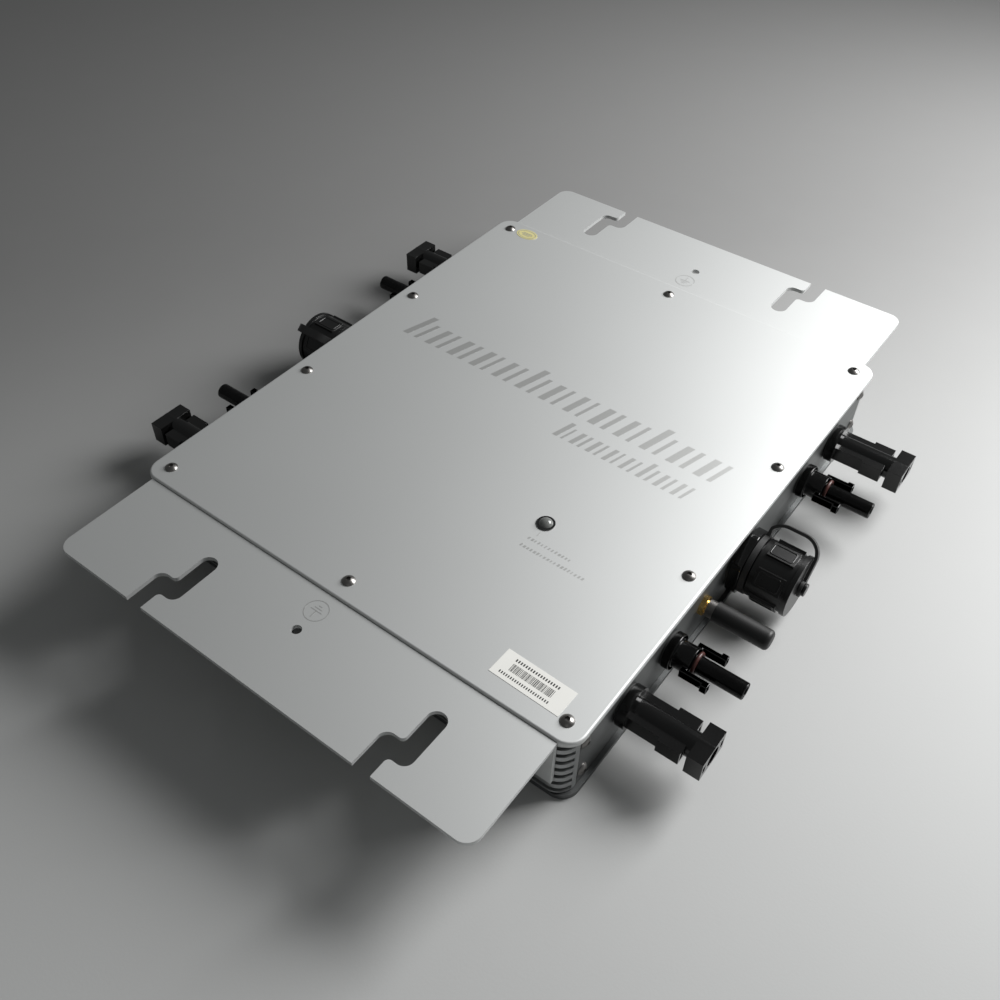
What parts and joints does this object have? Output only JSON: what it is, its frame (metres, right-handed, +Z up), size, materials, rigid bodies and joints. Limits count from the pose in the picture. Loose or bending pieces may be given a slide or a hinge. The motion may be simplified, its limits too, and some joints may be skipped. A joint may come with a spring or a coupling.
{
  "type": "micro inverter",
  "caption": "Flat sealed grid-tie micro inverter in a finned aluminium case with two slotted mounting wings, DC and AC connectors on both sides, dust caps and a stub antenna.",
  "frame": {"origin": "centre of the flat resting face of the bottom cover", "axes": "+X out of the connector side with the antenna, +Y along the case from the near wing to the far wing, +Z up through the top cover"},
  "size_m": [0.303, 0.37, 0.0424],
  "materials": {
    "satin_aluminium": "fine satin powder finish",
    "rail_aluminium": "sawn and anodised",
    "plate_aluminium": "satin anodised",
    "dark_steel": "blackened",
    "zinc_steel": "zinc plated",
    "tinned_copper": "tinned",
    "gilt_brass": "gilt",
    "plain_brass": "plain",
    "gasket_rubber": "matt",
    "seal_red": "silicone",
    "connector_plastic": "gloss moulded",
    "cap_plastic": "gloss moulded",
    "tether_rubber": "satin",
    "antenna_rubber": "satin",
    "bezel_chrome": "dark plated",
    "lens_plastic": "polished",
    "label_paper": "matt film",
    "sticker_foil": "foil",
    "board_green": "solder mask",
    "ferrite": "sintered",
    "winding_tape": "tape",
    "capacitor_sleeve": "sleeve",
    "film_box": "moulded",
    "pad_silicone": "silicone",
    "lead_black": "insulation"
  },
  "bodies": {
    "case": {"top_cover": "satin_aluminium", "bottom_cover": "satin_aluminium", "top_gasket": "gasket_rubber", "bottom_gasket": "gasket_rubber", "near_rail": "rail_aluminium", "far_rail": "rail_aluminium", "right_end_plate": "plate_aluminium", "left_end_plate": "plate_aluminium", "near_wing": "satin_aluminium", "far_wing": "satin_aluminium", "top_cover_screws": "dark_steel", "bottom_cover_screws": "dark_steel", "end_plate_screws": "dark_steel", "wing_screws": "dark_steel", "dc_contacts": "tinned_copper", "panel_seals": "gasket_rubber", "connector_nuts": "connector_plastic", "nose_seal_rings": "seal_red", "ac_inserts": "connector_plastic", "ac_contacts": "tinned_copper", "antenna_jack": "gilt_brass", "antenna_nut": "gilt_brass", "light_bezel": "bezel_chrome", "light_lens": "lens_plastic", "status_led": "lens_plastic", "number_label": "label_paper", "oval_sticker": "sticker_foil", "main_board": "board_green", "board_posts": "plain_brass", "inner_screws": "zinc_steel", "transformer_cores": "ferrite", "transformer_windings": "winding_tape", "input_capacitors": "capacitor_sleeve", "film_capacitors": "film_box", "power_transistors": "connector_plastic", "thermal_pads": "pad_silicone", "clamp_bars": "zinc_steel", "output_chokes": "ferrite", "radio_module": "board_green", "inner_leads": "lead_black", "antenna_lead": "lead_black", "right_near_male_connector": "connector_plastic", "right_near_female_connector": "connector_plastic", "right_far_male_connector": "connector_plastic", "right_far_female_connector": "connector_plastic", "right_ac_receptacle": "connector_plastic", "right_cap_tether": "tether_rubber", "left_near_male_connector": "connector_plastic", "left_near_female_connector": "connector_plastic", "left_far_male_connector": "connector_plastic", "left_far_female_connector": "connector_plastic", "left_ac_receptacle": "connector_plastic", "left_cap_tether": "tether_rubber"},
    "right_rivet": {"right_cap_rivet": "cap_plastic"},
    "right_cap": {"right_ac_cap": "cap_plastic"},
    "left_rivet": {"left_cap_rivet": "cap_plastic"},
    "left_cap": {"left_ac_cap": "cap_plastic"},
    "antenna": {"antenna_collar": "dark_steel", "antenna_sleeve": "antenna_rubber"}
  },
  "joints": [
    {"name": "right_cap_pull", "type": "slide", "parent": "case", "child": "right_rivet", "axis": [1, 0, 0], "range_m": [0, 0.02], "deforming": ["right_cap_tether"]},
    {"name": "right_cap_turn", "type": "hinge", "parent": "right_rivet", "child": "right_cap", "pos_m": [0.132, 0, 0.02], "axis": [1, 0, 0], "continuous": true},
    {"name": "left_cap_pull", "type": "slide", "parent": "case", "child": "left_rivet", "axis": [-1, 0, 0], "range_m": [0, 0.02], "deforming": ["left_cap_tether"]},
    {"name": "left_cap_turn", "type": "hinge", "parent": "left_rivet", "child": "left_cap", "pos_m": [-0.132, 0, 0.02], "axis": [-1, 0, 0], "continuous": true},
    {"name": "antenna_turn", "type": "hinge", "parent": "case", "child": "antenna", "pos_m": [0.13, -0.0335, 0.02], "axis": [1, 0, 0], "continuous": true}
  ]
}
